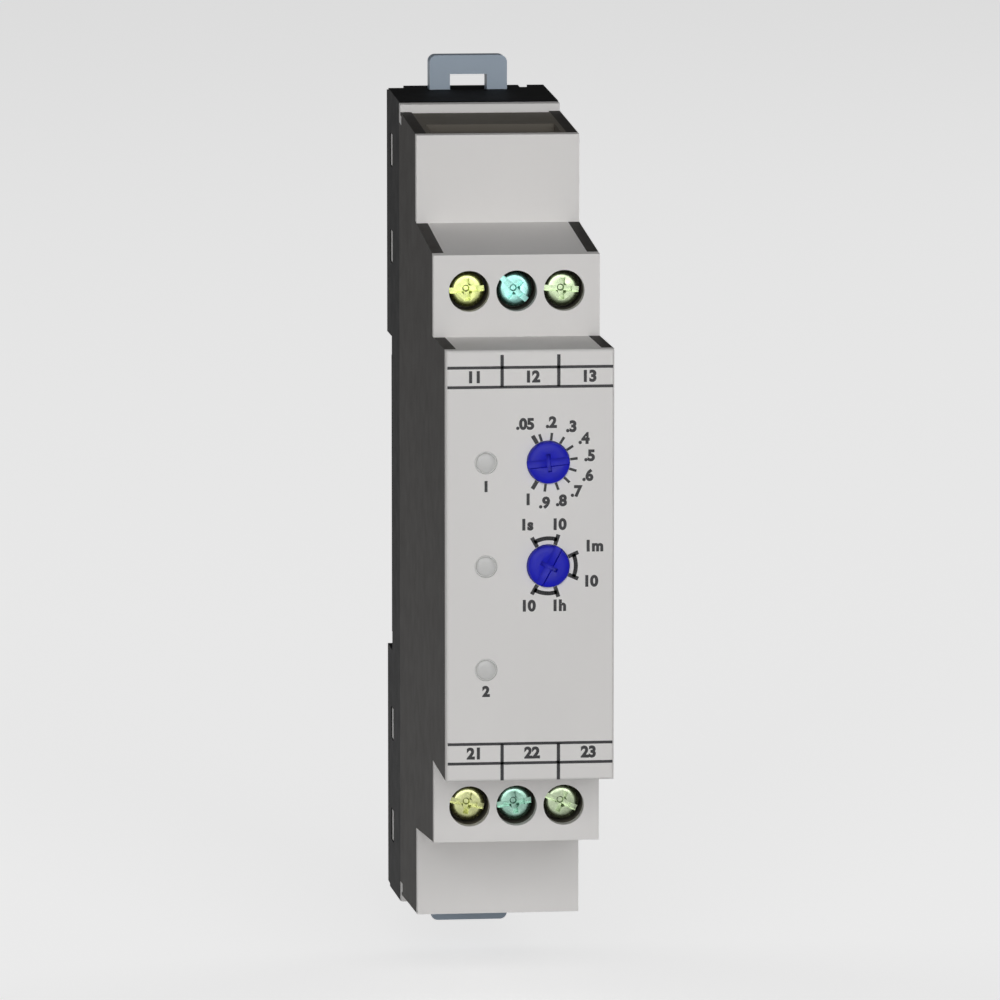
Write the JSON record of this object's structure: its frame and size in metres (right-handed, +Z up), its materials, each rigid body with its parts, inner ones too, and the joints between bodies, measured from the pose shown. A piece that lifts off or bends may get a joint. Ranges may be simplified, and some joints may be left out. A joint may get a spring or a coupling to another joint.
{
  "type": "din rail timer",
  "caption": "Narrow rail-mounted timing relay with a stepped housing, two setting knobs, indicator lights, screw terminals and sprung rail clips.",
  "frame": {"origin": "centre of the face that rests on the rail", "axes": "+Y into the rail and the panel, -Y to the front, +Z up, +X to the right seen from the front"},
  "size_m": [0.0176, 0.0658, 0.0972],
  "materials": {
    "base_black": "fine matt moulding",
    "shell_dark": "matt moulding",
    "cover_light": "matt moulding",
    "terminal_dark": "matt moulding",
    "clip_grey": "satin moulding",
    "spring_steel": "drawn wire",
    "copper": "bare copper",
    "bronze": "bronze strip",
    "knob_blue": "smooth moulding",
    "trimmer_body": "matt moulding",
    "lens_clear": "frosted light guide",
    "led_body": "small package",
    "board_green": "solder mask",
    "chip_black": "moulded package",
    "can_sleeve": "shrink sleeve",
    "film_box": "moulded box",
    "varistor_blue": "dipped coat",
    "resistor_beige": "lacquer",
    "relay_plastic": "moulding",
    "iron": "plated iron",
    "zinc_steel": "zinc plate with a yellow-green tint"
  },
  "bodies": {
    "housing": {"board_pins": "chip_black", "clip_spring_bottom": "spring_steel", "clip_spring_top": "spring_steel", "contact_bars_bottom": "copper", "contact_bars_top": "copper", "coupling_capacitor": "can_sleeve", "film_capacitor": "film_box", "front_board": "board_green", "front_cover": "cover_light", "indicator_leds": "led_body", "left_side_shell": "shell_dark", "lens_lower": "lens_clear", "lens_middle": "lens_clear", "lens_upper": "lens_clear", "locking_tabs_left": "cover_light", "locking_tabs_right": "cover_light", "main_board": "board_green", "multiplier_trimmer": "trimmer_body", "range_trimmer": "trimmer_body", "rear_base": "base_black", "rear_rim_bottom": "cover_light", "rear_rim_top": "cover_light", "regulator": "chip_black", "relay_base": "relay_plastic", "relay_bobbin": "relay_plastic", "relay_core": "iron", "relay_cover": "relay_plastic", "relay_fixed_contacts": "bronze", "relay_winding": "copper", "relay_yoke": "iron", "resistors": "resistor_beige", "right_side_shell": "shell_dark", "smoothing_capacitor": "can_sleeve", "terminal_block_bottom": "terminal_dark", "terminal_block_top": "terminal_dark", "timing_chip": "chip_black", "varistor": "varistor_blue"},
    "multiplier_knob_body": {"multiplier_knob": "knob_blue", "multiplier_rotor": "trimmer_body"},
    "range_knob_body": {"range_knob": "knob_blue", "range_rotor": "trimmer_body"},
    "rail_clip_top_body": {"rail_clip_top": "clip_grey"},
    "rail_clip_bottom_body": {"rail_clip_bottom": "clip_grey"},
    "relay_armature_body": {"relay_armature": "iron", "relay_contact_spring": "bronze"},
    "screw_1": {"terminal_screw_1": "zinc_steel"},
    "cage_1": {"clamp_cage_1": "zinc_steel"},
    "screw_2": {"terminal_screw_2": "zinc_steel"},
    "cage_2": {"clamp_cage_2": "zinc_steel"},
    "screw_3": {"terminal_screw_3": "zinc_steel"},
    "cage_3": {"clamp_cage_3": "zinc_steel"},
    "screw_4": {"terminal_screw_4": "zinc_steel"},
    "cage_4": {"clamp_cage_4": "zinc_steel"},
    "screw_5": {"terminal_screw_5": "zinc_steel"},
    "cage_5": {"clamp_cage_5": "zinc_steel"},
    "screw_6": {"terminal_screw_6": "zinc_steel"},
    "cage_6": {"clamp_cage_6": "zinc_steel"}
  },
  "joints": [
    {"name": "screw_1_turn", "type": "hinge", "parent": "housing", "child": "screw_1", "pos_m": [-0.005, -0.045, 0.0273], "axis": [0, 1, 0], "range_deg": [0, 2520]},
    {"name": "cage_1_slide", "type": "slide", "parent": "housing", "child": "cage_1", "axis": [0, -1, 0], "range_m": [0, 0.0035]},
    {"name": "screw_2_turn", "type": "hinge", "parent": "housing", "child": "screw_2", "pos_m": [0, -0.045, 0.0273], "axis": [0, 1, 0], "range_deg": [0, 2520]},
    {"name": "cage_2_slide", "type": "slide", "parent": "housing", "child": "cage_2", "axis": [0, -1, 0], "range_m": [0, 0.0035]},
    {"name": "screw_3_turn", "type": "hinge", "parent": "housing", "child": "screw_3", "pos_m": [0.005, -0.045, 0.0273], "axis": [0, 1, 0], "range_deg": [0, 2520]},
    {"name": "cage_3_slide", "type": "slide", "parent": "housing", "child": "cage_3", "axis": [0, -1, 0], "range_m": [0, 0.0035]},
    {"name": "screw_4_turn", "type": "hinge", "parent": "housing", "child": "screw_4", "pos_m": [-0.005, -0.045, -0.0273], "axis": [0, 1, 0], "range_deg": [0, 2520]},
    {"name": "cage_4_slide", "type": "slide", "parent": "housing", "child": "cage_4", "axis": [0, -1, 0], "range_m": [0, 0.0035]},
    {"name": "screw_5_turn", "type": "hinge", "parent": "housing", "child": "screw_5", "pos_m": [0, -0.045, -0.0273], "axis": [0, 1, 0], "range_deg": [0, 2520]},
    {"name": "cage_5_slide", "type": "slide", "parent": "housing", "child": "cage_5", "axis": [0, -1, 0], "range_m": [0, 0.0035]},
    {"name": "screw_6_turn", "type": "hinge", "parent": "housing", "child": "screw_6", "pos_m": [0.005, -0.045, -0.0273], "axis": [0, 1, 0], "range_deg": [0, 2520]},
    {"name": "cage_6_slide", "type": "slide", "parent": "housing", "child": "cage_6", "axis": [0, -1, 0], "range_m": [0, 0.0035]},
    {"name": "multiplier_knob_turn", "type": "hinge", "parent": "housing", "child": "multiplier_knob_body", "pos_m": [0.00187, -0.06, 0.0108], "axis": [0, 1, 0], "range_deg": [-114, 127]},
    {"name": "range_knob_turn", "type": "hinge", "parent": "housing", "child": "range_knob_body", "pos_m": [0.00187, -0.06, 0], "axis": [0, 1, 0], "range_deg": [-240, 0]},
    {"name": "rail_clip_top_slide", "type": "slide", "parent": "housing", "child": "rail_clip_top_body", "axis": [0, 0, 1], "range_m": [0, 0.003], "stiffness_N_per_m": 1500, "springref_m": -0.002, "deforming": ["clip_spring_top"]},
    {"name": "rail_clip_bottom_slide", "type": "slide", "parent": "housing", "child": "rail_clip_bottom_body", "axis": [0, 0, -1], "range_m": [0, 0.003], "stiffness_N_per_m": 1500, "springref_m": -0.002, "deforming": ["clip_spring_bottom"]},
    {"name": "relay_armature_hinge", "type": "hinge", "parent": "housing", "child": "relay_armature_body", "pos_m": [0, -0.0127, 0.0039], "axis": [1, 0, 0], "range_deg": [0, 3.5], "stiffness_Nm_per_rad": 0.005, "springref_deg": -5.73}
  ],
  "couplings": [
    {"joint": "screw_1_turn", "follows": "cage_1_slide", "rad_per_m": 12566},
    {"joint": "screw_2_turn", "follows": "cage_2_slide", "rad_per_m": 12566},
    {"joint": "screw_3_turn", "follows": "cage_3_slide", "rad_per_m": 12566},
    {"joint": "screw_4_turn", "follows": "cage_4_slide", "rad_per_m": 12566},
    {"joint": "screw_5_turn", "follows": "cage_5_slide", "rad_per_m": 12566},
    {"joint": "screw_6_turn", "follows": "cage_6_slide", "rad_per_m": 12566}
  ]
}
